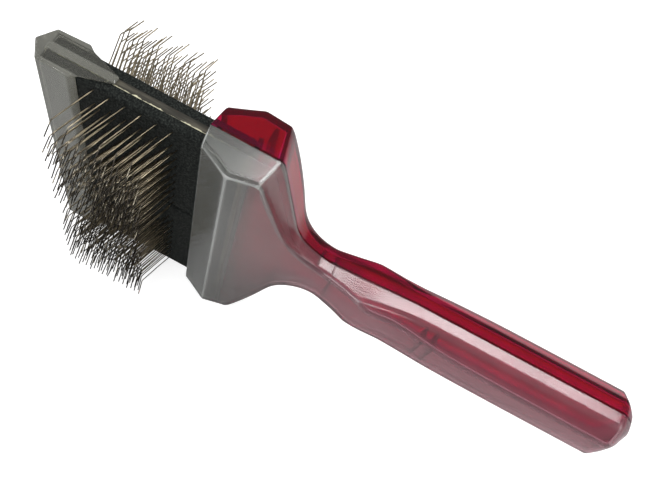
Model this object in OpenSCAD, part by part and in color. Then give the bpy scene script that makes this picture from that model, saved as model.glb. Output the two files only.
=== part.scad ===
// Double-sided slicker brush for working out mats. A hollow handle of two shells
// ends in a wide housing, and a head with bent wire pins on both faces rocks in
// the housing's mouth.
//
// Frame: +X runs from the head to the handle's end, +Y towards the red rear
// shell, +Z across the head. The origin is level with the head's lower narrow
// side, under the middle of the length. Modules work from the middle of the
// mouth and are moved there by placed().

/* [Housing] */
// Width of the housing across the head
head_w = 90; // [84:1:100]
// Depth of the front shell at the mouth
mouth_half = 5.65; // [5.4:0.05:6.5]
// Depth of the rear shell at the mouth
rear_mouth_half = 7; // [6:0.1:7.4]
// Half height of the opening at the mouth
opening_half = 4.25; // [4.1:0.05:4.4]
// Distance of the thickest line behind the mouth
ridge_x = 9.4; // [8:0.1:11]
// Depth of the front shell at the thickest line
ridge_half = 10.1; // [9.6:0.1:11]
// Depth of the rear shell at the thickest line
rear_ridge_half = 11.2; // [10:0.1:12]
// Distance behind the mouth where the broad faces turn down to the neck
back_x = 17.2; // [16:0.1:18]
// Depth of the front shell there
back_half = 8.7; // [8.4:0.1:9]
// Depth of the rear shell there
rear_back_half = 10.8; // [10:0.1:11]
// Length of the narrow sides
corner_x = 19.6; // [19:0.1:21]
// Slant of the housing's back edges, in degrees
back_slant = 17.6; // [14:0.2:20]
// Radius between the back edges and the neck
fillet_r = 14.8; // [12:0.2:16]
// Thickness of the shells
shell_wall = 2; // [1.6:0.1:2.4]

/* [Handle] */
// Distance from the mouth to the handle's end
handle_end = 136; // [125:1:150]
// Half width at the neck
neck_half = 8.4; // [8:0.1:9]
// Half width of the grip
grip_half = 11.35; // [11:0.05:12]
// Half height of the grip's flat narrow sides
flat_half = 4.3; // [4:0.1:5]
// Slope of the chamfers beside the narrow sides, in degrees
chamfer_slope = 43.4; // [40:0.2:46]
// Length of the tapered end
end_taper = 5; // [4:0.2:6]
// How far the end tapers in on each side
end_drop = 4.6; // [3:0.1:5]

/* [Head] */
// Reach of the cap's nose in front of the mouth
nose_x = 46.5; // [44:0.5:50]
// Width of the tip cap
cap_w = 84.4; // [82:0.2:86]
// Thickness of the core plate
core_t = 2.16; // [1.8:0.02:2.4]
// Thickness of one pad
pad_t = 2.79; // [2.4:0.01:3]
// Width over the two pads of one face
pads_w = 82.6; // [80:0.2:82.8]
// Gap between the two pads of one face
slit = 1; // [0.6:0.1:1.6]
// Length of the pads inside the housing
tail_len = 11; // [9:0.2:11.4]

/* [Pins] */
// Thickness of the wire
wire_d = 0.4; // [0.3:0.02:0.5]
// Pins in one row, along X
columns = 6; // [2:2:6]
// Distance between the pins of one row
column_pitch = 4.27; // [3.8:0.01:4.4]
// Distance of a row's last pin in front of the mouth
last_pin_x = 7.7; // [7.4:0.1:9]
// Shift of a row against the one before it, along X
twill = 1.4; // [0:0.1:1.4]
// Distance of a pad's first row from the pad's edge
first_row = 2.2; // [1.6:0.1:2.6]
// Gap between the first row and the second
first_gap = 5.8; // [3:0.1:6]
// Distance between the other rows
row_pitch = 1.4; // [1.2:0.02:1.4]
// Height of the knee over the pad
knee_h = 11.7; // [8:0.1:13]
// Lean of the lower leg at the knee, towards the nose
knee_lean = 3.4; // [2:0.1:4]
// Height of the pin's point over its knee
point_h = 4.7; // [2:0.1:5]
// Lean of the upper leg, back towards the handle
point_lean = 1.2; // [0.5:0.1:2]

/* [Hidden] */
$fn = 24;
ROWS = 24;
ROWS_PER_GROUP = 4;
GROUPS = ROWS / ROWS_PER_GROUP;
FACES = ["front", "rear"];
HALVES = ["upper", "lower"];

length_mid = (handle_end - nose_x) / 2;
core_half = core_t / 2;
stack_half = core_half + pad_t;

// Outline of the housing and handle, seen along Y
back_join = corner_x + (head_w / 2 - neck_half) * tan(back_slant);
neck_x = back_join + fillet_r * tan((90 - back_slant) / 2);
grip_x0 = 38;
grip_x1 = 72;
grip_end = handle_end - end_taper;
cavity_end = handle_end - 3;
end_wall_step = 0.4;

// Depth of each shell from the mouth to the handle's end, [x, depth]
REAR_DEPTH = [[0, rear_mouth_half], [ridge_x, rear_ridge_half], [back_x, rear_back_half],
              [23, 10.2], [30, 6.1], [39, 5.2], [47, 6.1], [54, 7], [63, 6.5], [80, 8],
              [95, 8.7], [handle_end, 8.8]];
FRONT_DEPTH = [[0, mouth_half], [ridge_x, ridge_half], [back_x, back_half],
               [23, 7.8], [30, 5.3], [39, 4.5], [47, 5.9], [55, 7.9], [64, 7.5], [80, 8.6],
               [100, 9], [handle_end, 9.2]];
// Lean of the mouth and of the back edges along X, for each millimetre of depth
RAKE = [[0, 0.13], [ridge_x, 0], [corner_x, -0.25], [26, -0.1], [34, 0]];
head_edge = 1.2;
octagon_x0 = 33;

// Ribs inside the shells, [x, inner edge]
rib_t = 1.2;
REAR_RIBS = [[13.7, 4.6], [37.6, 1.5], [42, 1.5]];
FRONT_RIBS = [[13.7, 4.6], [43.3, 1.5], [73, 2], [76.5, 2]];

// Cap, from the nose backwards
nose_half = 4.9;
cap_half = 5.3;
cap_shoulder_x = 43.5;
cap_edge_x = 34.9;
cap_lip_x = 33.1;
cheek_tip_x = 24.6;
cheek_t = 0.8;
pocket_x = 42.6;
groove_x = 43.5;
pocket_gap = 0.1;

// The bead on the core plate's tail, which can't pass the mouth
bead_t = 1.2;
bead_half = 4.7;

// Root of a wire, under the pad
wire_sides = 6;
root_depth = core_half + wire_d;
lean_rate = knee_lean / knee_h;

function staple_name(face, half, group) = str(face, "_", half, "_staples_", group);

// Smooth step from 0 to 1
function ease(t) = let (u = min(1, max(0, t))) u * u * (3 - 2 * u);

// Slope of a curve at its knot i
function knot_slope(k, i) =
    let (a = max(0, i - 1), b = min(len(k) - 1, i + 1))
    (k[b][1] - k[a][1]) / (k[b][0] - k[a][0]);

// Smooth curve through the knots [x, y], from the span that holds x
function curve(k, x, i = 0) =
    x > k[i + 1][0] && i < len(k) - 2 ? curve(k, x, i + 1) :
    let (w = k[i + 1][0] - k[i][0], t = (x - k[i][0]) / w,
         m0 = knot_slope(k, i) * w, m1 = knot_slope(k, i + 1) * w)
    k[i][1] * (2 * t ^ 3 - 3 * t ^ 2 + 1) + m0 * (t ^ 3 - 2 * t ^ 2 + t)
    + k[i + 1][1] * (3 * t ^ 2 - 2 * t ^ 3) + m1 * (t ^ 3 - t ^ 2);

// Half width at x, moved in by inset
function end_inset(x) = x < grip_end ? 0 : end_drop * ((x - grip_end) / end_taper) ^ 1.35;
function half_width(x, inset = 0) =
    let (side = head_w / 2 - inset,
         slant = head_w / 2 - (x - corner_x) / tan(back_slant) - inset / sin(back_slant),
         arc_r = fillet_r + inset)
    x < neck_x - arc_r * cos(back_slant) ? min(side, slant) :
    x < neck_x ? neck_half + fillet_r - sqrt(arc_r ^ 2 - (neck_x - x) ^ 2) :
    neck_half + (grip_half - neck_half) * ease((x - grip_x0) / (grip_x1 - grip_x0))
    - inset - end_inset(x);

// Depth at x: flat faces over the housing, a smooth curve from the third knot on
function half_depth(depth, x) =
    x < back_x ? lookup(x, [for (i = [0:2]) depth[i]]) :
    curve([for (i = [2:len(depth) - 1]) depth[i]], x) - end_inset(x);

// Where the chamfer meets the broad face, and where it meets the narrow side
function chamfer_top(x, w, h) =
    x < octagon_x0 ? w - head_edge :
    min(w - head_edge, grip_half - end_inset(x) - (h + end_inset(x) - flat_half) / tan(chamfer_slope));
function chamfer_side(x, w, h) =
    x < octagon_x0 ? h - head_edge :
    min(h - head_edge, flat_half + (grip_half - w - end_inset(x)) * tan(chamfer_slope) - end_inset(x) / 2);

// One cross-section of a shell: outer points, then inner points back again
function station_wall(depth, x) = lookup(x, [[0, depth[0][1] - opening_half], [4, shell_wall]]);
function outer_half(x, h) =
    let (w = half_width(x))
    [[w, 0], [w, chamfer_side(x, w, h)], [chamfer_top(x, w, h), h]];
function inner_half(x, h, wall) =
    let (w = half_width(x, shell_wall), top = h - wall, ease_in = shell_wall * tan(chamfer_slope / 2),
         outer = half_width(x))
    [[w, 0],
     [w, min(top - 0.3, chamfer_side(x, outer, h) - ease_in)],
     [min(w - 0.3, chamfer_top(x, outer, h) - ease_in), top]];
function mirrored(half) = [for (i = [2:-1:0]) [-half[i][0], half[i][1]]];
function reversed(points) = [for (i = [len(points) - 1:-1:0]) points[i]];
function section(depth, x, hollow) =
    let (h = half_depth(depth, x), outer = outer_half(x, h),
         inner = inner_half(x, h, station_wall(depth, x)),
         flat = [for (p = inner) [p[0] * (p[1] > 0 ? 0.8 : 1) * (p[1] < h - shell_wall ? 1 : 0.8), 0]],
         loop = concat(outer, mirrored(outer)),
         core = concat(hollow ? inner : flat, mirrored(hollow ? inner : flat)))
    [for (p = concat(loop, reversed(core))) [x + lookup(x, RAKE) * p[1], p[1], p[0]]];

// Places of the cross-sections along X
arc_steps = 8;
inner_corner_x = corner_x - shell_wall * (1 / sin(back_slant) - 1) * tan(back_slant);
back_start = neck_x - fillet_r * cos(back_slant);
STATIONS = concat(
    [0, 1.5, 4, 6.5, ridge_x, 13, back_x, inner_corner_x],
    [for (i = [0:3]) corner_x + i * (back_start - corner_x) / 4],
    [for (i = [0:arc_steps]) neck_x - fillet_r * sin((90 - back_slant) * (1 - i / arc_steps))],
    [for (x = [neck_x + 3:3:grip_end - 2]) x],
    [grip_end, cavity_end]
);
SOLID_STATIONS = [cavity_end + end_wall_step, handle_end - 1, handle_end];

// A shell on the +Y side of the middle plane, hollow and open at the mouth
module shell(depth) {
    rings = concat([for (x = STATIONS) section(depth, x, true)],
                   [for (x = SOLID_STATIONS) section(depth, x, false)]);
    n = len(rings[0]);
    last = len(rings) - 1;
    function at(r, j) = r * n + j % n;
    sides = [for (r = [0:last - 1], j = [0:n - 1], half = [0, 1])
        half == 0 ? [at(r, j), at(r, j + 1), at(r + 1, j + 1)]
                  : [at(r, j), at(r + 1, j + 1), at(r + 1, j)]];
    function face(r) = [for (j = [0:n / 2 - 2], half = [0, 1])
        let (a = at(r, j), b = at(r, j + 1), c = at(r, n - 2 - j), d = at(r, n - 1 - j))
        j < n / 4 ? (half == 0 ? [a, b, d] : [b, c, d]) : (half == 0 ? [a, b, c] : [a, c, d])];
    mouth = [for (triangle = face(0)) reversed(triangle)];
    polyhedron([for (ring = rings, p = ring) p], concat(sides, mouth, face(last)), convexity = 10);
}

// Cross ribs that stand on the inside of a shell's broad wall
module ribs(list, depth) {
    for (rib = list) {
        h = half_depth(depth, rib[0]);
        top = chamfer_top(rib[0], half_width(rib[0]), h) - shell_wall;
        translate([rib[0] - rib_t / 2, rib[1], -top])
            cube([rib_t, h - shell_wall / 2 - rib[1], 2 * top]);
    }
}

module placed() {
    translate([-length_mid, 0, head_w / 2]) children();
}

module rear_shell() {
    color("crimson", 0.6)
        placed() {
            shell(REAR_DEPTH);
            ribs(REAR_RIBS, REAR_DEPTH);
        }
}

module front_shell() {
    color("gainsboro", 0.5)
        placed() mirror([0, 1, 0]) {
            shell(FRONT_DEPTH);
            ribs(FRONT_RIBS, FRONT_DEPTH);
        }
}

// A plate of the given side profile, centred on the head's width
module across_head(w) {
    translate([0, 0, -w / 2]) linear_extrude(w) children();
}

module tip_cap() {
    nose = [[-nose_x, 0], [-cap_shoulder_x, nose_half], [-cap_edge_x, cap_half]];
    lip = [[-cap_lip_x, stack_half + pocket_gap]];
    cheek = [[-cap_lip_x, stack_half + pocket_gap], [-cheek_tip_x, core_half]];
    color("lightgray", 0.6)
        placed() {
            difference() {
                across_head(cap_w) profile(concat(nose, lip));
                across_head(cap_w - 2 * cheek_t) stack_room();
            }
            for (side = [-1, 1])
                translate([0, 0, side * (cap_w - cheek_t) / 2])
                    across_head(cheek_t) profile(concat(nose, cheek));
        }
}

// A profile that is the same on both sides of the middle plane
module profile(points) {
    polygon(concat(points, [for (p = reversed(points)) [p[0], -p[1]]]));
}

// The pockets for the pads' ends and the groove for the core plate
module stack_room() {
    half = stack_half + pocket_gap;
    polygon([[-pocket_x, -half], [0, -half], [0, half], [-pocket_x, half], [-pocket_x, core_half],
             [-groove_x, core_half], [-groove_x, -core_half], [-pocket_x, -core_half]]);
}

module core_plate() {
    color("tan")
        placed() across_head(pads_w) union() {
            translate([-groove_x, -core_half]) square([groove_x + tail_len, core_t]);
            translate([tail_len, -bead_half]) square([bead_t, 2 * bead_half]);
        }
}

// A pad of one face (front is -1, rear is 1) and one half (lower is -1, upper is 1)
module pad(face, half) {
    length = pocket_x - pocket_gap + tail_len;
    width = (pads_w - slit) / 2;
    color("#20262a")
        placed()
            translate([tail_len - length / 2, face * (core_half + pad_t / 2), half * (slit + width) / 2])
                cube([length, pad_t, width], center = true);
}

// Wire of wire_sides flats bent along a path of [x, y] points, mitred at each bend
function unit(v) = v / norm(v);
function left(a, b) = unit([a[1] - b[1], b[0] - a[0]]);
function miter(path, i) =
    let (last = len(path) - 1,
         before = left(path[max(0, i - 1)], path[max(1, i)]),
         after = left(path[min(last - 1, i)], path[min(last, i + 1)]),
         both = unit(before + after))
    both / (both * before);
module bent_wire(path) {
    n = wire_sides;
    last = len(path) - 1;
    function at(r, j) = r * n + j % n;
    points = [for (i = [0:last], a = [0:360 / n:359])
        let (out = miter(path, i) * cos(a), r = wire_d / 2)
        [path[i][0] + r * out[0], path[i][1] + r * out[1], r * sin(a)]];
    sides = [for (r = [0:last - 1], j = [0:n - 1], half = [0, 1])
        half == 0 ? [at(r, j), at(r + 1, j + 1), at(r, j + 1)]
                  : [at(r, j), at(r + 1, j), at(r + 1, j + 1)]];
    start = [for (j = [0:n - 1]) j];
    end = [for (j = [n - 1:-1:0]) at(last, j)];
    polyhedron(points, concat(sides, [start, end]));
}

// A bent staple: two pins that share a root under the pad
module staple(x) {
    root = [x + (stack_half - root_depth) * lean_rate, root_depth];
    knee = [x - knee_lean, stack_half + knee_h];
    point = knee + [point_lean, point_h];
    crown = [column_pitch, 0];
    bent_wire([point, knee, root, root + crown, knee + crown, point + crown]);
}

// Place of a front pad's row across the head, counted from the pad's upper edge,
// and the row's shift along X
function row_z(half, row) =
    (half > 0 ? pads_w : -slit) / 2 - first_row - (row == 0 ? 0 : first_gap + (row - 1) * row_pitch);
function row_shift(row) = row == 0 ? 0 : twill * (1 - row % 3);

// The staples of some neighbouring rows. The rear pads are front pads turned over.
module staples(face, half, group) {
    turned = face > 0;
    color("silver")
        placed() rotate([turned ? 180 : 0, 0, 0])
            for (row = [ROWS_PER_GROUP * (group - 1):ROWS_PER_GROUP * group - 1], k = [0:columns / 2 - 1]) {
                x = -last_pin_x - row_shift(row) - (columns - 1 - 2 * k) * column_pitch;
                translate([0, 0, row_z(turned ? -half : half, row)]) mirror([0, 1, 0]) staple(x);
            }
}

front_shell();
rear_shell();
tip_cap();
core_plate();
for (f = [0, 1], h = [0, 1]) {
    face = f == 0 ? -1 : 1;
    half = h == 0 ? 1 : -1;
    pad(face, half);
    for (group = [1:GROUPS])
        staples(face, half, group);
}
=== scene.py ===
"""Looks of the double-sided slicker brush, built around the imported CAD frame.

Lengths are in millimetres from the middle of the housing's mouth: x towards the handle's
end, y towards the red rear shell, z across the head. world() moves them to the row frame.
"""

import math
import random

import bmesh
import bpy
import numpy as np
from mathutils import Matrix, Vector

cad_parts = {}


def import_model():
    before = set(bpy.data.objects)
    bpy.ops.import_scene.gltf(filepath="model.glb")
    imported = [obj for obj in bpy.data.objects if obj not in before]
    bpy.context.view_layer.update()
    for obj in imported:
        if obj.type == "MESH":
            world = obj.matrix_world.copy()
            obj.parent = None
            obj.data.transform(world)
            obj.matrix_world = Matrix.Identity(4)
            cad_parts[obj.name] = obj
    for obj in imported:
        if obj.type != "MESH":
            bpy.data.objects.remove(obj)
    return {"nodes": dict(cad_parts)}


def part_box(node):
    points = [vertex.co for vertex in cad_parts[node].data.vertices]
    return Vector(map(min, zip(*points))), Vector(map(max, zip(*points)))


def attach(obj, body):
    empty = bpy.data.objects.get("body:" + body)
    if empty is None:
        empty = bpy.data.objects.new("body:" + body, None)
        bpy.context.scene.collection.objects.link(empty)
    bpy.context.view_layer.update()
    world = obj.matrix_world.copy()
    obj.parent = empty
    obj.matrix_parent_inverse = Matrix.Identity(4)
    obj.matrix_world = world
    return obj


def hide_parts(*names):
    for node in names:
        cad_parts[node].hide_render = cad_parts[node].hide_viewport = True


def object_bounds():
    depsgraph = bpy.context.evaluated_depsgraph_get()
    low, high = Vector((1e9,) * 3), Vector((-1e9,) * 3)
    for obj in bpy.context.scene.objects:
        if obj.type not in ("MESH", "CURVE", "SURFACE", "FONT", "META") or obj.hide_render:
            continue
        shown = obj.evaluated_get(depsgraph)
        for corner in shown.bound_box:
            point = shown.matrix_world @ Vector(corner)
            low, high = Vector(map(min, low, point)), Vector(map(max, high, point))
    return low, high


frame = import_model()
cad_low, cad_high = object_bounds()
rng = random.Random(7)

MM = 0.001
shell_low, shell_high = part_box("rear_shell")
MOUTH = Vector((shell_low.x, 0.0, (shell_low.z + shell_high.z) / 2))
HEAD_HALF = (shell_high.z - shell_low.z) / 2 / MM
HANDLE_END = (shell_high.x - shell_low.x) / MM


def world(p):
    return (MOUTH.x + p[0] * MM, MOUTH.y + p[1] * MM, MOUTH.z + p[2] * MM)


# ------------------------------------------------------------------ shader nodes

def noise_node(nodes, links, scale, detail, stretch=(1, 1, 1)):
    """Noise over the piece's own coordinates; scale counts features per metre."""
    where = nodes.new("ShaderNodeTexCoord")
    mapping = nodes.new("ShaderNodeMapping")
    mapping.inputs["Scale"].default_value = stretch
    noise = nodes.new("ShaderNodeTexNoise")
    noise.inputs["Scale"].default_value = scale
    noise.inputs["Detail"].default_value = detail
    links.new(where.outputs["Object"], mapping.inputs["Vector"])
    links.new(mapping.outputs["Vector"], noise.inputs["Vector"])
    return noise.outputs["Fac"]


def place_node(nodes, links):
    """Outputs X, Y and Z: a point's place in the row frame, in metres."""
    where = nodes.new("ShaderNodeTexCoord")
    split = nodes.new("ShaderNodeSeparateXYZ")
    links.new(where.outputs["Object"], split.inputs["Vector"])
    return split.outputs


def ramp_node(nodes, links, source, stops):
    ramp = nodes.new("ShaderNodeValToRGB")
    elements = ramp.color_ramp.elements
    elements[0].position, elements[0].color = stops[0][0], (*stops[0][1], 1)
    elements[1].position, elements[1].color = stops[-1][0], (*stops[-1][1], 1)
    for place, colour in stops[1:-1]:
        elements.new(place).color = (*colour, 1)
    links.new(source, ramp.inputs["Fac"])
    return ramp.outputs["Color"]


def range_node(nodes, links, source, start, end, low=0.0, high=1.0, smooth=False):
    """Runs from low to high while the source runs from start to end, and holds past both."""
    span = nodes.new("ShaderNodeMapRange")
    if smooth:
        span.interpolation_type = "SMOOTHSTEP"
    span.inputs["From Min"].default_value = start
    span.inputs["From Max"].default_value = end
    span.inputs["To Min"].default_value = low
    span.inputs["To Max"].default_value = high
    links.new(source, span.inputs["Value"])
    return span.outputs["Result"]


def math_node(nodes, links, operation, *values):
    """One sum; each value is a number or another node's output."""
    node = nodes.new("ShaderNodeMath")
    node.operation = operation
    for socket, value in zip(node.inputs, values):
        if isinstance(value, float):
            socket.default_value = value
        else:
            links.new(value, socket)
    return node.outputs["Value"]


def mix_node(nodes, links, amount, under, over, blend="MIX"):
    """Lays one colour over another; amount and over are values or other nodes' outputs."""
    mix = nodes.new("ShaderNodeMix")
    mix.data_type = "RGBA"
    mix.blend_type = blend
    if isinstance(amount, float):
        mix.inputs["Factor"].default_value = amount
    else:
        links.new(amount, mix.inputs["Factor"])
    links.new(under, mix.inputs["A"])
    if isinstance(over, tuple):
        mix.inputs["B"].default_value = (*over, 1)
    else:
        links.new(over, mix.inputs["B"])
    return mix.outputs["Result"]


def bump_node(nodes, links, source, strength, distance, before=None):
    bump = nodes.new("ShaderNodeBump")
    bump.inputs["Strength"].default_value = strength
    bump.inputs["Distance"].default_value = distance
    links.new(source, bump.inputs["Height"])
    if before:
        links.new(before, bump.inputs["Normal"])
    return bump.outputs["Normal"]


def camera_rays(nodes):
    """1 for what the camera sees directly, 0 for reflections and bounced light."""
    return nodes.new("ShaderNodeLightPath").outputs["Is Camera Ray"]


# ------------------------------------------------------------------ camera and light

def look_along(obj, right, up, back):
    obj.matrix_world = Matrix((
        (right[0], up[0], back[0], obj.location[0]),
        (right[1], up[1], back[1], obj.location[1]),
        (right[2], up[2], back[2], obj.location[2]),
        (0, 0, 0, 1)))


camera_data = bpy.data.cameras.new("camera")
camera = bpy.data.objects.new("camera", camera_data)
bpy.context.collection.objects.link(camera)
camera_data.sensor_width = 36
camera_data.lens = 41.87
camera_data.clip_start = 0.01
camera.location = world((35.72, -86.43, 196.55))
look_along(camera, (0.8821, 0.4240, 0.2055), (-0.4711, 0.7953, 0.3816), (-0.0017, -0.4334, 0.9012))
bpy.context.scene.camera = camera


def area_light(name, place, target, size, power):
    data = bpy.data.lights.new(name, "AREA")
    data.shape = "RECTANGLE"
    data.size, data.size_y = size
    data.energy = power
    lamp = bpy.data.objects.new(name, data)
    bpy.context.collection.objects.link(lamp)
    lamp.location = place
    aim = Vector(target) - Vector(place)
    lamp.rotation_euler = aim.to_track_quat("-Z", "Y").to_euler()


area_light("left", (-0.75, 0.15, 0.65), (0, 0, 0.03), (0.6, 0.6), 3.2)
area_light("right", (0.85, -0.10, 0.60), (0, 0, 0.03), (0.6, 0.6), 2.2)
area_light("strip", (0.17, 0.20, 0.81), (0.17, 0.20, 0.0), (0.58, 0.13), 4.0)
area_light("near", (-0.22, -0.50, 0.75), (-0.03, 0, 0.07), (0.60, 0.20), 3.2)
area_light("rim", (-0.155, -0.56, 0.29), (-0.04, -0.01, 0.08), (0.40, 0.11), 0.6)

SKY_LIGHT, SKY_SEEN = 0.25, 1.0
studio = bpy.data.worlds.new("studio")
bpy.context.scene.world = studio
studio.use_nodes = True
sky_nodes, sky_links = studio.node_tree.nodes, studio.node_tree.links
sky = sky_nodes["Background"]
sky.inputs["Color"].default_value = (1, 1, 1, 1)
sky_strength = range_node(sky_nodes, sky_links, camera_rays(sky_nodes), 0, 1, SKY_LIGHT, SKY_SEEN)
sky_links.new(sky_strength, sky.inputs["Strength"])
bpy.context.scene.view_settings.view_transform = "Standard"


# ------------------------------------------------------------------ materials

def new_material(name):
    m = bpy.data.materials.new(name)
    m.use_nodes = True
    return m, m.node_tree.nodes, m.node_tree.links


def x_at(distance):
    """The row frame's x at a distance in millimetres from the mouth."""
    return MOUTH.x + distance * MM


def plastic(name, dark, light, transmission, rough, gloss, frost, ripple, painted_red_light=None):
    """Moulded translucent plastic: clouded colour, satin grain and slow sink marks.

    The handle multiplier paints the colour pink past the head: painted light standing in for the red half's
    light showing through."""
    m, nodes, links = new_material(name)
    bsdf = nodes["Principled BSDF"]
    cloud = noise_node(nodes, links, 55, 2)
    colour = ramp_node(nodes, links, cloud, [(0.3, dark), (0.7, light)])
    if painted_red_light:
        # Painted light: pink past the head, for the red half's light showing through the clear shell.
        along = range_node(nodes, links, place_node(nodes, links)["X"], x_at(6), x_at(50), smooth=True)
        colour = mix_node(nodes, links, along, colour, painted_red_light, "MULTIPLY")
    links.new(colour, bsdf.inputs["Base Color"])
    smear = noise_node(nodes, links, 130, 4, (0.35, 1, 1))
    wear = range_node(nodes, links, smear, 0.3, 0.75, rough * 0.8, rough * 1.3)
    links.new(wear, bsdf.inputs["Roughness"])
    grain = noise_node(nodes, links, 2600, 2)
    sink = noise_node(nodes, links, 45, 1)
    low = bump_node(nodes, links, sink, ripple, 1.5 * MM)
    fine = bump_node(nodes, links, grain, frost, 0.08 * MM, low)
    links.new(fine, bsdf.inputs["Normal"])
    bsdf.inputs["Transmission Weight"].default_value = transmission
    bsdf.inputs["IOR"].default_value = 1.47
    bsdf.inputs["Specular IOR Level"].default_value = gloss
    return m


def change_clarity(m, amount, transmission):
    """Moves a plastic's clarity to this transmission by the amount."""
    clarity = m.node_tree.nodes["Principled BSDF"].inputs["Transmission Weight"]
    nodes, links = m.node_tree.nodes, m.node_tree.links
    links.new(range_node(nodes, links, amount, 0, 1, clarity.default_value, transmission), clarity)


def painted_edge_highlights(m, pale, transmission):
    """Painted highlight: rounded outer edges, found by their pointiness, are painted paler and made less
    clear, standing in for the light they catch. It starts clear of the seam and is weaker on the handle."""
    nodes, links = m.node_tree.nodes, m.node_tree.links
    base = nodes["Principled BSDF"].inputs["Base Color"]
    shape = nodes.new("ShaderNodeNewGeometry")
    place = place_node(nodes, links)
    # Painted highlight: pointiness picks out the rounded outer edges, which are painted paler.
    amount = range_node(nodes, links, shape.outputs["Pointiness"], 0.505, 0.517)
    off_seam = range_node(nodes, links, place["Y"], -1.2 * MM, -2.4 * MM)
    fading = range_node(nodes, links, place["X"], x_at(20), x_at(50), 1.0, 0.35)
    for part in (off_seam, fading):
        amount = math_node(nodes, links, "MULTIPLY", amount, part)
    links.new(mix_node(nodes, links, amount, base.links[0].from_socket, pale), base)
    change_clarity(m, amount, transmission)


def seam_bands(m):
    """The red half's colour by distance from the seam: a dark joint line, a magenta strip of painted
    bluish sheen, the body's crimson, and on the handle a darker maroon band of painted shade where the side
    turns into the chamfer."""
    nodes, links = m.node_tree.nodes, m.node_tree.links
    base = nodes["Principled BSDF"].inputs["Base Color"]
    place = place_node(nodes, links)
    away = range_node(nodes, links, place["Y"], 0, 10 * MM)
    # After the dark joint line the body loses blue, so the strip by the seam keeps a painted bluish sheen.
    seam = ramp_node(nodes, links, away, [
        (0.032, (0.10, 0.02, 0.10)), (0.055, (1, 1, 1)), (0.18, (1, 1, 1)), (0.25, (1, 1, 0.46))])
    # Painted shade: a darker maroon band on the handle where the side turns into the chamfer.
    shade_stripe = ramp_node(nodes, links, away, [
        (0.29, (1, 1, 1)), (0.34, (0.36, 0.4, 0.4)), (0.43, (0.36, 0.4, 0.4)), (0.49, (0.9, 1, 1))])
    on_handle = range_node(nodes, links, place["X"], x_at(26), x_at(40), smooth=True)
    body = base.links[0].from_socket
    for amount, band in ((1.0, seam), (on_handle, shade_stripe)):
        body = mix_node(nodes, links, amount, body, band, "MULTIPLY")
    links.new(body, base)


def clear_over_pads(m, transmission):
    """The thin cheeks of the cap are clearer than its solid nose and walls."""
    nodes, links = m.node_tree.nodes, m.node_tree.links
    place = place_node(nodes, links)
    depth = math_node(nodes, links, "ABSOLUTE", place["Y"])
    beside_pads = math_node(nodes, links, "COMPARE", depth, 2.5 * MM, 1.4 * MM)
    behind_nose = range_node(nodes, links, place["X"], x_at(-42.9), x_at(-42.3))
    change_clarity(m, math_node(nodes, links, "MULTIPLY", beside_pads, behind_nose), transmission)


def core_material():
    """Tan plastic sheet with sawn edges, with a cream line along their front corner."""
    m, nodes, links = new_material("core_sheet")
    bsdf = nodes["Principled BSDF"]
    fibres = noise_node(nodes, links, 900, 4, (0.12, 1, 1))
    tan = ramp_node(nodes, links, fibres, [
        (0.3, (0.022, 0.020, 0.016)), (0.5, (0.038, 0.036, 0.030)), (0.72, (0.090, 0.083, 0.064))])
    wander = noise_node(nodes, links, 520, 4, (1, 0.1, 0.1))
    edge = math_node(nodes, links, "MULTIPLY_ADD", wander, 1.9 * MM, place_node(nodes, links)["Y"])
    cream_line = range_node(nodes, links, edge, 0.12 * MM, -0.12 * MM)
    links.new(mix_node(nodes, links, cream_line, tan, (0.56, 0.54, 0.38)), bsdf.inputs["Base Color"])
    links.new(bump_node(nodes, links, fibres, 0.6, 0.2 * MM), bsdf.inputs["Normal"])
    bsdf.inputs["Roughness"].default_value = 0.55
    bsdf.inputs["Specular IOR Level"].default_value = 0.12
    return m


def pad_material():
    """Dark rubber-faced cloth with a fine nap and dusty wear."""
    m, nodes, links = new_material("pad_rubber_cloth")
    bsdf = nodes["Principled BSDF"]
    dust = noise_node(nodes, links, 2200, 4)
    colour = ramp_node(nodes, links, dust, [
        (0.36, (0.003, 0.004, 0.0035)), (0.5, (0.009, 0.0108, 0.010)), (0.66, (0.026, 0.029, 0.026))])
    links.new(colour, bsdf.inputs["Base Color"])
    nap = noise_node(nodes, links, 2300, 2, (1, 1, 0.6))
    weave = nodes.new("ShaderNodeTexWave")
    weave.inputs["Scale"].default_value = 420
    weave.inputs["Distortion"].default_value = 3
    where = nodes.new("ShaderNodeTexCoord")
    links.new(where.outputs["Object"], weave.inputs["Vector"])
    cloth = bump_node(nodes, links, weave.outputs["Fac"], 0.25, 0.2 * MM)
    links.new(bump_node(nodes, links, nap, 0.7, 0.25 * MM, cloth), bsdf.inputs["Normal"])
    bsdf.inputs["Roughness"].default_value = 0.78
    bsdf.inputs["Specular IOR Level"].default_value = 0.12
    return m


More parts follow.
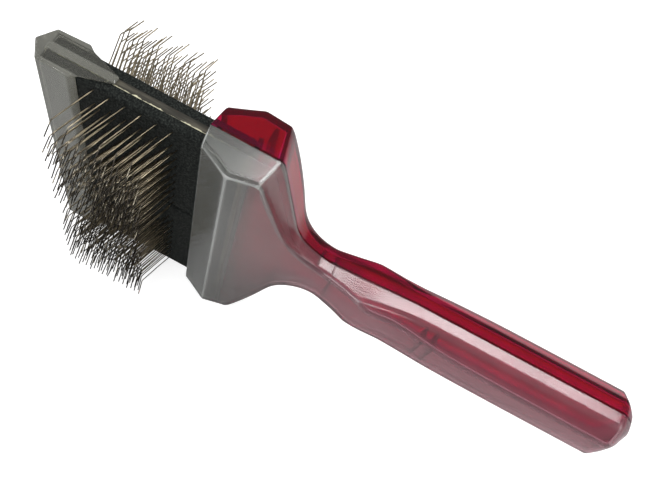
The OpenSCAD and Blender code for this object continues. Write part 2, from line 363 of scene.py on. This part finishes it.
def wire_material():
    """Drawn steel wire with fine drawing marks, painted as a lit gold copy and, past the front pins' bends,
    a darker copy in painted shade.
    """
    m, nodes, links = new_material("drawn_steel_wire")
    bsdf = nodes["Principled BSDF"]
    stain = noise_node(nodes, links, 420, 3)
    # Painted highlight: the lit, gold copy of the wire.
    lit_gold = ramp_node(nodes, links, stain, [
        (0.3, (0.10, 0.085, 0.058)), (0.55, (0.20, 0.168, 0.115)), (0.75, (0.36, 0.30, 0.20))])
    dark = ramp_node(nodes, links, stain, [
        (0.42, (0.040, 0.035, 0.029)), (0.56, (0.075, 0.066, 0.054)), (0.66, (0.45, 0.40, 0.31))])
    # Painted shade: the front pins' legs past their bends take the darker copy.
    past = range_node(nodes, links, place_node(nodes, links)["Y"], -12.5 * MM, -16.5 * MM)
    links.new(mix_node(nodes, links, past, lit_gold, dark), bsdf.inputs["Base Color"])
    marks = noise_node(nodes, links, 5000, 2, (1, 0.06, 1))
    links.new(range_node(nodes, links, marks, 0, 1, 0.22, 0.45), bsdf.inputs["Roughness"])
    links.new(bump_node(nodes, links, marks, 0.2, 0.03 * MM), bsdf.inputs["Normal"])
    bsdf.inputs["Metallic"].default_value = 1.0
    return m


# Clear shell: painted pink past the head for the red half's light showing through.
CLEAR = plastic("frosted_clear_plastic", dark=(0.37, 0.385, 0.365), light=(0.45, 0.46, 0.435),
                transmission=0.88, rough=0.17, gloss=0.38, frost=0.02, ripple=0.03,
                painted_red_light=(1.24, 0.50, 0.66))
# The clear shell's rounded edges get a painted highlight.
painted_edge_highlights(CLEAR, pale=(0.62, 0.64, 0.62), transmission=0.62)
RED = plastic("translucent_red_plastic", dark=(0.62, 0.003, 0.130), light=(0.72, 0.004, 0.160),
              transmission=0.95, rough=0.12, gloss=0.06, frost=0.01, ripple=0.03)
# Red shell: a painted bluish sheen by the seam and a painted shade band on the handle.
seam_bands(RED)
CAP = plastic("frosted_cap_plastic", dark=(0.39, 0.39, 0.345), light=(0.46, 0.46, 0.41),
              transmission=0.76, rough=0.14, gloss=0.15, frost=0.0, ripple=0.02)
clear_over_pads(CAP, transmission=0.92)
CORE = core_material()
PAD = pad_material()
WIRE = wire_material()


# ------------------------------------------------------------------ mesh helpers

def new_piece(name, verts, faces, material, body, nodes, sharp=32):
    mesh = bpy.data.meshes.new(name)
    mesh.from_pydata([world(v) for v in verts], [], faces)
    mesh.validate()
    mesh.materials.append(material)
    obj = bpy.data.objects.new(name, mesh)
    bpy.context.collection.objects.link(obj)
    finish_piece(obj, body, nodes, sharp)
    return obj


def finish_piece(obj, body, nodes, sharp):
    work = bmesh.new()
    work.from_mesh(obj.data)
    bmesh.ops.recalc_face_normals(work, faces=work.faces)
    work.to_mesh(obj.data)
    work.free()
    obj.data.shade_smooth()
    obj.data.set_sharp_from_angle(angle=math.radians(sharp))
    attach(obj, body)
    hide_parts(*nodes)


def rounded(points, radii, steps):
    """The open polyline with each inner corner replaced by a curve of steps points."""
    out = [points[0]]
    for a, b, c, r in zip(points, points[1:], points[2:], radii):
        a, b, c = Vector(a), Vector(b), Vector(c)
        u, v = (a - b), (c - b)
        lu, lv = u.length, v.length
        u, v = u / lu, v / lv
        turn = math.acos(max(-1, min(1, u.dot(v))))
        reach = min(r / math.tan(turn / 2), 0.45 * lu, 0.45 * lv)
        start, end = b + u * reach, b + v * reach
        for i in range(steps):
            t = i / (steps - 1)
            out.append(tuple(start * (1 - t) ** 2 + b * 2 * t * (1 - t) + end * t * t))
    out.append(points[-1])
    return out


# ------------------------------------------------------------------ housing and handle

RIDGE_X, BACK_X, CORNER_X = 9.4, 17.2, 19.6
SLANT = math.radians(17.6)
FILLET = 14.8
NECK_HALF, GRIP_HALF, FLAT_HALF = 8.4, 11.35, 4.3
CHAMFER_ANGLE = math.radians(43.4)
CHAMFER = math.tan(CHAMFER_ANGLE)
NECK_X = CORNER_X + (HEAD_HALF - NECK_HALF) * math.tan(SLANT) + FILLET * math.tan((math.pi / 2 - SLANT) / 2)
END_TAPER, END_DROP, END_POWER = 5.0, 4.6, 1.35
WALL, END_WALL, OPENING_HALF, LIP_LENGTH = 2.0, 3.0, 4.25, 4.0
OCTAGON_X = 33.0
SEAM_GAP, SEAM_STEP, SEAM_RISE = 0.01, 0.32, 0.36
DRAFT = 0.09
CORNER_ROOM, INNER_ROOM = 1.2, 0.3
CROWN = 0.22
SOFT_HEAD, SOFT_GRIP, INNER_SOFTER = 2.2, 3.4, 0.9
MOUTH_ROUND, LIP_ROUND, END_ROUND = 0.5, 0.3, 1.3
SIDE_CREASE, DEPTH_CREASE = 1.1, 0.7
REAR_DEPTH = [(0, 7.0), (RIDGE_X, 11.2), (BACK_X, 10.8), (23, 10.2), (30, 6.1), (39, 5.2),
              (47, 6.1), (54, 7.0), (63, 6.5), (80, 8.0), (95, 8.7), (HANDLE_END, 8.8)]
FRONT_DEPTH = [(0, 5.65), (RIDGE_X, 10.1), (BACK_X, 8.7), (23, 7.8), (30, 5.3), (39, 4.5),
               (47, 5.9), (55, 7.9), (64, 7.5), (80, 8.6), (100, 9.0), (HANDLE_END, 9.2)]


def ease(x, start, run):
    """Rises from 0 to 1 over the run that begins at start, with level ends."""
    t = min(1.0, max(0.0, (x - start) / run))
    return t * t * (3 - 2 * t)


def curve(knots, x):
    """The value at x of a smooth curve through the knots."""
    last = len(knots) - 1
    i = next((i for i in range(last) if x <= knots[i + 1][0]), last - 1)

    def slope(j):
        a, b = max(0, j - 1), min(last, j + 1)
        return (knots[b][1] - knots[a][1]) / (knots[b][0] - knots[a][0])

    w = knots[i + 1][0] - knots[i][0]
    t = (x - knots[i][0]) / w
    return (knots[i][1] * (2 * t ** 3 - 3 * t ** 2 + 1) + slope(i) * w * (t ** 3 - 2 * t ** 2 + t)
            + knots[i + 1][1] * (3 * t ** 2 - 2 * t ** 3) + slope(i + 1) * w * (t ** 3 - t ** 2))


def end_inset(x):
    """How far the handle's end has drawn in at x."""
    start = HANDLE_END - END_TAPER
    return 0.0 if x < start else END_DROP * ((x - start) / END_TAPER) ** END_POWER


def half_width(x, inset=0.0):
    """Half of the outline's width: the head, its slanting shoulders, the neck and the grip."""
    slant = HEAD_HALF - (x - CORNER_X) / math.tan(SLANT) - inset / math.sin(SLANT)
    arc = FILLET + inset
    if x < NECK_X - arc * math.cos(SLANT):
        return min(HEAD_HALF - inset, slant)
    if x < NECK_X:
        return NECK_HALF + FILLET - math.sqrt(arc ** 2 - (NECK_X - x) ** 2)
    return NECK_HALF + (GRIP_HALF - NECK_HALF) * ease(x, 38, 34) - inset - end_inset(x)


def half_depth(depth, x):
    """A shell's depth at x: straight facets on the head, a smooth curve on the handle."""
    if x < BACK_X:
        return float(np.interp(x, *zip(*depth[:3])))
    return curve(depth[2:], x) - end_inset(x)


def eased(f, x, reach):
    """The mean of f near x, which turns its creases into small curves."""
    return sum(k * f(x + d * reach) for d, k in ((-1, 1), (-0.5, 3), (0, 4), (0.5, 3), (1, 1))) / 12


def rounding(distance, radius):
    """How far a rounded edge stands back at this distance from the edge's end."""
    if distance >= radius:
        return 0.0
    return radius - math.sqrt(max(0.0, radius ** 2 - (radius - distance) ** 2))


def held_flats(points, starts):
    """Adds two points near both ends of the flats that start at these points, so that the
    painted highlight on the rounded edges spreads less over the flats."""
    out = []
    for i, a in enumerate(points):
        out.append(a)
        if i in starts:
            a, b = Vector(a), Vector(points[i + 1])
            t = min(0.2, 0.5 / (b - a).length)
            out += [tuple(a.lerp(b, u)) for u in (t, 2 * t, 1 - 2 * t, 1 - t)]
    return out


def outline(depth, x, inner):
    """Half of a shell's cross-section at x, from the seam to the middle, as (z, y)."""
    edge = rounding(x, MOUTH_ROUND) + rounding(HANDLE_END - x, END_ROUND)
    inset = end_inset(x)
    w = eased(half_width, x, SIDE_CREASE) - edge
    h = eased(lambda s: half_depth(depth, s), x, DEPTH_CREASE) - edge
    side, top = h - CORNER_ROOM, w - CORNER_ROOM
    if x >= OCTAGON_X:
        side = min(side, FLAT_HALF + (GRIP_HALF - w - inset) * CHAMFER - inset / 2)
        top = min(top, GRIP_HALF - inset - (h + inset - FLAT_HALF) / CHAMFER)
    bulge = CROWN * ease(x, 40, 25)
    soft = SOFT_HEAD + (SOFT_GRIP - SOFT_HEAD) * ease(x, 22, 20)
    if inner:
        wall = float(np.interp(x, (0, LIP_LENGTH), (depth[0][1] - OPENING_HALF, WALL)))
        back = WALL * math.tan(CHAMFER_ANGLE / 2)
        wi = eased(lambda s: half_width(s, WALL), x, SIDE_CREASE)
        hi = h + edge - wall + rounding(x, LIP_ROUND)
        corners = [(wi, SEAM_GAP), (wi, min(hi - INNER_ROOM, side - back)),
                   (min(wi - INNER_ROOM, top - back), hi), (0, hi + bulge * 0.6)]
        return rounded(corners, (soft - INNER_SOFTER, soft - INNER_SOFTER), 5)
    corners = [(w, SEAM_RISE), (w - DRAFT * (side - INNER_ROOM), side), (top, h), (0, h + bulge)]
    return [(w - SEAM_STEP, SEAM_GAP)] + held_flats(rounded(corners, (soft, soft), 7), (0, 7, 14))


def rake(x):
    """How far a cross-section leans along x for each millimetre of depth."""
    return float(np.interp(x, (0, RIDGE_X, CORNER_X, 26, 34), (0.13, 0, -0.25, -0.1, 0)))


def ring(depth, x, inner):
    half = outline(depth, x, inner)
    loop = half + [(-z, y) for z, y in reversed(half[:-1])]
    return [(x + rake(x) * y, y, z) for z, y in loop]


def stations():
    """Places of the cross-sections along x, closer together where the shape turns."""
    spans = [(0, 1.2, 0.12), (1.2, 17, 0.4), (17, NECK_X + 1, 0.22), (NECK_X + 1, 130, 0.9),
             (130, HANDLE_END - 1.4, 0.3), (HANDLE_END - 1.4, HANDLE_END, 0.1)]
    places = []
    for start, end, step in spans:
        n = max(1, round((end - start) / step))
        places += [start + (end - start) * i / n for i in range(n)]
    return places + [HANDLE_END]


def shell_mesh(depth, sign, ribs):
    """A hollow half, open at the mouth and the seam; ribs are the arguments of add_rib."""
    places = stations()
    hollow = [x for x in places if x <= HANDLE_END - END_WALL]
    outer = [ring(depth, x, False) for x in places]
    inner = [ring(depth, x, True) for x in hollow]
    verts = [p for r in outer for p in r] + [p for r in inner for p in r]
    n, m = len(outer[0]), len(inner[0])
    base = len(outer) * n
    faces = []
    for i in range(len(outer) - 1):
        faces += [(i * n + j, i * n + j + 1, (i + 1) * n + j + 1, (i + 1) * n + j) for j in range(n - 1)]
    for i in range(len(inner) - 1):
        a = base + i * m
        faces += [(a + j + 1, a + j, a + m + j, a + m + j + 1) for j in range(m - 1)]
        for o, p in ((i * n, a), (i * n + n - 1, a + m - 1)):
            faces.append((o, p, p + m, o + n))
    faces.append([base + (len(inner) - 1) * m + j for j in range(m)])
    faces.append([(len(outer) - 1) * n + j for j in range(n)])
    first, last = len(inner) - 1, len(outer) - 1
    solid = range(first, last + 1)
    faces.append([i * n for i in solid] + [i * n + n - 1 for i in reversed(solid)]
                 + [base + first * m + m - 1, base + first * m])
    faces += mouth_faces(n, m, base)
    for rib in ribs:
        add_rib(verts, faces, depth, *rib)
    return [(x, sign * y, z) for x, y, z in verts], faces


def mouth_faces(n, m, base):
    """Joins the outer and inner lines of the mouth, which have different counts."""
    faces, i, j = [], 0, 0
    while i < n - 1 or j < m - 1:
        if j * (n - 1) < i * (m - 1) or i == n - 1:
            faces.append((i, base + j, base + j + 1))
            j += 1
        else:
            faces.append((i, base + j, i + 1))
            i += 1
    return faces


def add_rib(verts, faces, depth, x, thick, y_edge, z_reach):
    """A cross rib from the inside of the broad wall down to y_edge, with eased edges."""
    inside = outline(depth, x, True)
    top = inside[-1][1]
    reach = min(z_reach, inside[-2][0] - 0.2)
    start = len(verts)
    e = min(0.25, thick * 0.3)
    profile = [(-thick / 2, top + 0.02), (-thick / 2, y_edge + e), (-thick / 2 + e, y_edge),
               (thick / 2 - e, y_edge), (thick / 2, y_edge + e), (thick / 2, top + 0.02)]
    rings = ((-reach, e), (-reach + e, 0), (reach - e, 0), (reach, e))
    for z, drop in rings:
        for dx, y in profile:
            verts.append((x + dx * (1 - drop), max(y, y_edge + drop), z))
    k = len(profile)
    for r in range(len(rings) - 1):
        for j in range(k):
            a, b = start + r * k + j, start + r * k + (j + 1) % k
            faces.append((a, b, b + k, a + k))
    faces.append([start + j for j in range(k)][::-1])
    faces.append([start + (len(rings) - 1) * k + j for j in range(k)])


HEAD_RIB = (13.7, 1.2, 4.6, 41.8)
FRONT_RIBS = [HEAD_RIB, (43.3, 1.2, 1.5, 7), (73, 0.9, 2, 7.5), (76.5, 0.9, 2, 7.5)]
REAR_RIBS = [HEAD_RIB, (37.6, 1.2, 1.5, 7), (42, 1.2, 1.5, 7)]
verts, faces = shell_mesh(FRONT_DEPTH, -1, FRONT_RIBS)
new_piece("clear_front_shell", verts, faces, CLEAR, "handle", ["front_shell"])
verts, faces = shell_mesh(REAR_DEPTH, 1, REAR_RIBS)
new_piece("red_rear_shell", verts, faces, RED, "handle", ["rear_shell"])


# ------------------------------------------------------------------ cap and core plate

def eased_copy(node, name, material, body, radius, segments):
    """A CAD node's exact shape with its edges rounded over and its large faces kept flat."""
    mesh = frame["nodes"][node].data.copy()
    mesh.materials.clear()
    mesh.materials.append(material)
    obj = bpy.data.objects.new(name, mesh)
    bpy.context.collection.objects.link(obj)
    work = bmesh.new()
    work.from_mesh(mesh)
    bmesh.ops.remove_doubles(work, verts=work.verts, dist=1e-6)
    bmesh.ops.dissolve_limit(work, angle_limit=math.radians(0.5), verts=work.verts, edges=work.edges)
    sharp = [e for e in work.edges if e.is_manifold and e.calc_face_angle(0) > math.radians(12)]
    made = bmesh.ops.bevel(work, geom=sharp, offset=radius * MM, segments=segments, profile=0.5,
                           affect="EDGES", clamp_overlap=True)
    work.faces.index_update()
    edges = {face.index for face in made["faces"]}
    work.to_mesh(mesh)
    work.free()
    finish_piece(obj, body, [node], 40)
    for face in mesh.polygons:
        face.use_smooth = face.index in edges


eased_copy("tip_cap", "frosted_tip_cap", CAP, "head", 0.35, 3)
eased_copy("core_plate", "core_sheet", CORE, "head", 0.12, 2)


# ------------------------------------------------------------------ pins

CORE_HALF, PAD_T, WIRE_R = 1.08, 2.79, 0.165
BEND = 0.4
STACK = CORE_HALF + PAD_T
ROOT = CORE_HALF + 0.4
COLUMNS, PITCH, LAST_PIN, TWILL = 6, 4.27, 7.7, 1.4
FIRST_ROW, FIRST_GAP, ROW_PITCH, ROWS, ROWS_PER_GROUP = 2.2, 5.8, 1.4, 24, 4
KNEE_BACK, KNEE_UP = 3.4, 11.7
KNEE = Vector((-KNEE_BACK, STACK + KNEE_UP))
POINT = Vector((1.2, 4.7))
LEAN = KNEE_BACK / KNEE_UP
STRAY_SHARE, STRAY_BEND = 0.04, 3.0


def row_z(face, half, row):
    """Place of a row across the head. The rear pads are front pads turned over."""
    turned = face == "rear"
    low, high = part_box(f"pad_{face}_{half}")
    edge = (MOUTH.z - low.z if turned else high.z - MOUTH.z) / MM
    z = edge - FIRST_ROW - (0 if row == 0 else FIRST_GAP + (row - 1) * ROW_PITCH)
    return -z if turned else z


def row_shift(row):
    return 0 if row == 0 else TWILL * (1 - row % 3)


def pin_columns(row):
    """Places along x of a row's pins at the height of the pad's face."""
    return [-LAST_PIN - row_shift(row) - (COLUMNS - 1 - k) * PITCH for k in range(COLUMNS)]


def bent_pin(x, z):
    """Points of one pin from its root to its point, a little off the ideal line."""
    strong = STRAY_BEND if rng.random() < STRAY_SHARE else 1.0
    knee_x, knee_z = rng.gauss(0, 0.14) * strong, rng.gauss(0, 0.18) * strong
    root = Vector((x + (STACK - ROOT) * LEAN, ROOT, z))
    knee = Vector((x + KNEE.x + knee_x, KNEE.y + rng.gauss(0, 0.15), z + knee_z))
    tip_z = knee_z * 1.25 + rng.gauss(0, 0.16) * strong
    reach = min(knee.y + POINT.y - abs(rng.gauss(0, 0.16)), KNEE.y + POINT.y)
    tip = Vector((knee.x + POINT.x + rng.gauss(0, 0.18) * strong, reach, z + tip_z))
    bow = Vector((rng.gauss(0, 0.07), 0, rng.gauss(0, 0.07)))
    return root, root.lerp(knee, 0.5) + bow, knee, tip


def smooth_path(points, radius, steps=4):
    """The path with each corner replaced by a short curve."""
    out = [points[0]]
    for a, b, c in zip(points, points[1:], points[2:]):
        u, v = (a - b).normalized(), (c - b).normalized()
        reach = min(radius, 0.4 * (a - b).length, 0.4 * (c - b).length)
        start, end = b + u * reach, b + v * reach
        for i in range(steps):
            t = i / (steps - 1)
            out.append(start * (1 - t) ** 2 + b * 2 * t * (1 - t) + end * t * t)
    return out + [points[-1]]


def add_tube(verts, faces, path, radius, sides=8):
    start = len(verts)
    for i, p in enumerate(path):
        along = (path[min(i + 1, len(path) - 1)] - path[max(i - 1, 0)]).normalized()
        side = along.cross(Vector((0, 0, 1))).normalized()
        up = side.cross(along)
        for j in range(sides):
            a = 2 * math.pi * j / sides
            verts.append(p + side * radius * math.cos(a) + up * radius * math.sin(a))
    for i in range(len(path) - 1):
        for j in range(sides):
            a, b = start + i * sides + j, start + i * sides + (j + 1) % sides
            faces.append((a, b, b + sides, a + sides))
    faces.append([start + j for j in range(sides)][::-1])
    faces.append([start + (len(path) - 1) * sides + j for j in range(sides)])


def staple_group(face, half, group):
    """The separate wires of four rows, each bent into two pins and the crown that joins them."""
    verts, faces = [], []
    sign = -1 if face == "front" else 1
    for row in range(ROWS_PER_GROUP * (group - 1), ROWS_PER_GROUP * group):
        columns, z = pin_columns(row), row_z(face, half, row)
        for k in range(0, COLUMNS, 2):
            one, two = bent_pin(columns[k], z), bent_pin(columns[k + 1], z)
            path = smooth_path([*reversed(one), *two], BEND)
            add_tube(verts, faces, [Vector((p.x, sign * p.y, p.z)) for p in path], WIRE_R)
    node = f"{face}_{half}_staples_{group}"
    new_piece("pins_" + node, verts, faces, WIRE, "head", [node], 50)


for face in ("front", "rear"):
    for half in ("upper", "lower"):
        for group in range(1, ROWS // ROWS_PER_GROUP + 1):
            staple_group(face, half, group)


# ------------------------------------------------------------------ pads

GRID = 0.42
EDGE_REACH, EDGE_DROP = 0.8, 0.55
WAVE = 0.05
DIMPLE, DIMPLE_SPREAD = 0.28, 0.32
RIM, RIM_RADIUS, RIM_SPREAD = 0.05, 1.0, 0.12


def pad_piece(face, half):
    """A rubber-faced pad: rounded edges, slow waviness, and a dimple round each pin."""
    node = f"pad_{face}_{half}"
    low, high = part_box(node)
    sign = -1 if face == "front" else 1
    x0, x1 = (low.x - MOUTH.x) / MM, (high.x - MOUTH.x) / MM
    z0, z1 = (low.z - MOUTH.z) / MM, (high.z - MOUTH.z) / MM
    side = 1 if half == "upper" else -1
    nx, nz = round((x1 - x0) / GRID), round((z1 - z0) / GRID)
    xs, zs = np.linspace(x0, x1, nx), np.linspace(z0, z1, nz)
    gx, gz = np.meshgrid(xs, zs, indexing="ij")
    top = np.full(gx.shape, STACK)
    for d in (gx - x0, x1 - gx, gz - z0, z1 - gz):
        top -= EDGE_DROP * (1 - np.sqrt(np.clip(1 - (1 - np.clip(d / EDGE_REACH, 0, 1)) ** 2, 0, 1)))
    top -= WAVE * (1 + np.sin(gx * 0.55 + side * 1.1) * np.sin(gz * 0.43 + sign * 0.7))
    for row in range(ROWS):
        for x in pin_columns(row):
            r2 = (gx - x) ** 2 + (gz - row_z(face, half, row)) ** 2
            top -= DIMPLE * np.exp(-r2 / DIMPLE_SPREAD)
            top += RIM * np.exp(-(np.sqrt(r2) - RIM_RADIUS) ** 2 / RIM_SPREAD)
    top = np.minimum(top, STACK)
    verts = [(gx[i, j], sign * top[i, j], gz[i, j]) for i in range(nx) for j in range(nz)]
    verts += [(gx[i, j], sign * CORE_HALF, gz[i, j]) for i in range(nx) for j in range(nz)]

    def at(i, j, under):
        return under * nx * nz + i * nz + j

    faces = []
    for i in range(nx - 1):
        for j in range(nz - 1):
            faces.append((at(i, j, 0), at(i + 1, j, 0), at(i + 1, j + 1, 0), at(i, j + 1, 0)))
            faces.append((at(i, j, 1), at(i, j + 1, 1), at(i + 1, j + 1, 1), at(i + 1, j, 1)))
    for i in range(nx - 1):
        faces.append((at(i, 0, 0), at(i, 0, 1), at(i + 1, 0, 1), at(i + 1, 0, 0)))
        faces.append((at(i, nz - 1, 0), at(i + 1, nz - 1, 0), at(i + 1, nz - 1, 1), at(i, nz - 1, 1)))
    for j in range(nz - 1):
        faces.append((at(0, j, 0), at(0, j + 1, 0), at(0, j + 1, 1), at(0, j, 1)))
        faces.append((at(nx - 1, j, 0), at(nx - 1, j, 1), at(nx - 1, j + 1, 1), at(nx - 1, j + 1, 0)))
    obj = new_piece("cloth_" + node, verts, faces, PAD, "head", [node], 40)


for face in ("front", "rear"):
    for half in ("upper", "lower"):
        pad_piece(face, half)


# ------------------------------------------------------------------ floor

FLOOR_HALF, FLOOR_GAP, FLOOR_GLOW = 3, 0.5, 0.70
corners = [(-FLOOR_HALF, -FLOOR_HALF, 0), (FLOOR_HALF, -FLOOR_HALF, 0),
           (FLOOR_HALF, FLOOR_HALF, 0), (-FLOOR_HALF, FLOOR_HALF, 0)]
floor_mesh = bpy.data.meshes.new("floor")
floor_mesh.from_pydata(corners, [], [(0, 1, 2, 3)])
floor = bpy.data.objects.new("floor", floor_mesh)
bpy.context.collection.objects.link(floor)
floor.location.z = cad_low.z - FLOOR_GAP * MM
floor_paper, floor_nodes, floor_links = new_material("floor_paper")
floor_bsdf = floor_nodes["Principled BSDF"]
floor_bsdf.inputs["Base Color"].default_value = (0.60, 0.60, 0.60, 1)
floor_bsdf.inputs["Roughness"].default_value = 0.9
floor_bsdf.inputs["Specular IOR Level"].default_value = 0.0
floor_bsdf.inputs["Emission Color"].default_value = (1, 1, 1, 1)
glow = math_node(floor_nodes, floor_links, "MULTIPLY", camera_rays(floor_nodes), FLOOR_GLOW)
floor_links.new(glow, floor_bsdf.inputs["Emission Strength"])
floor_mesh.materials.append(floor_paper)
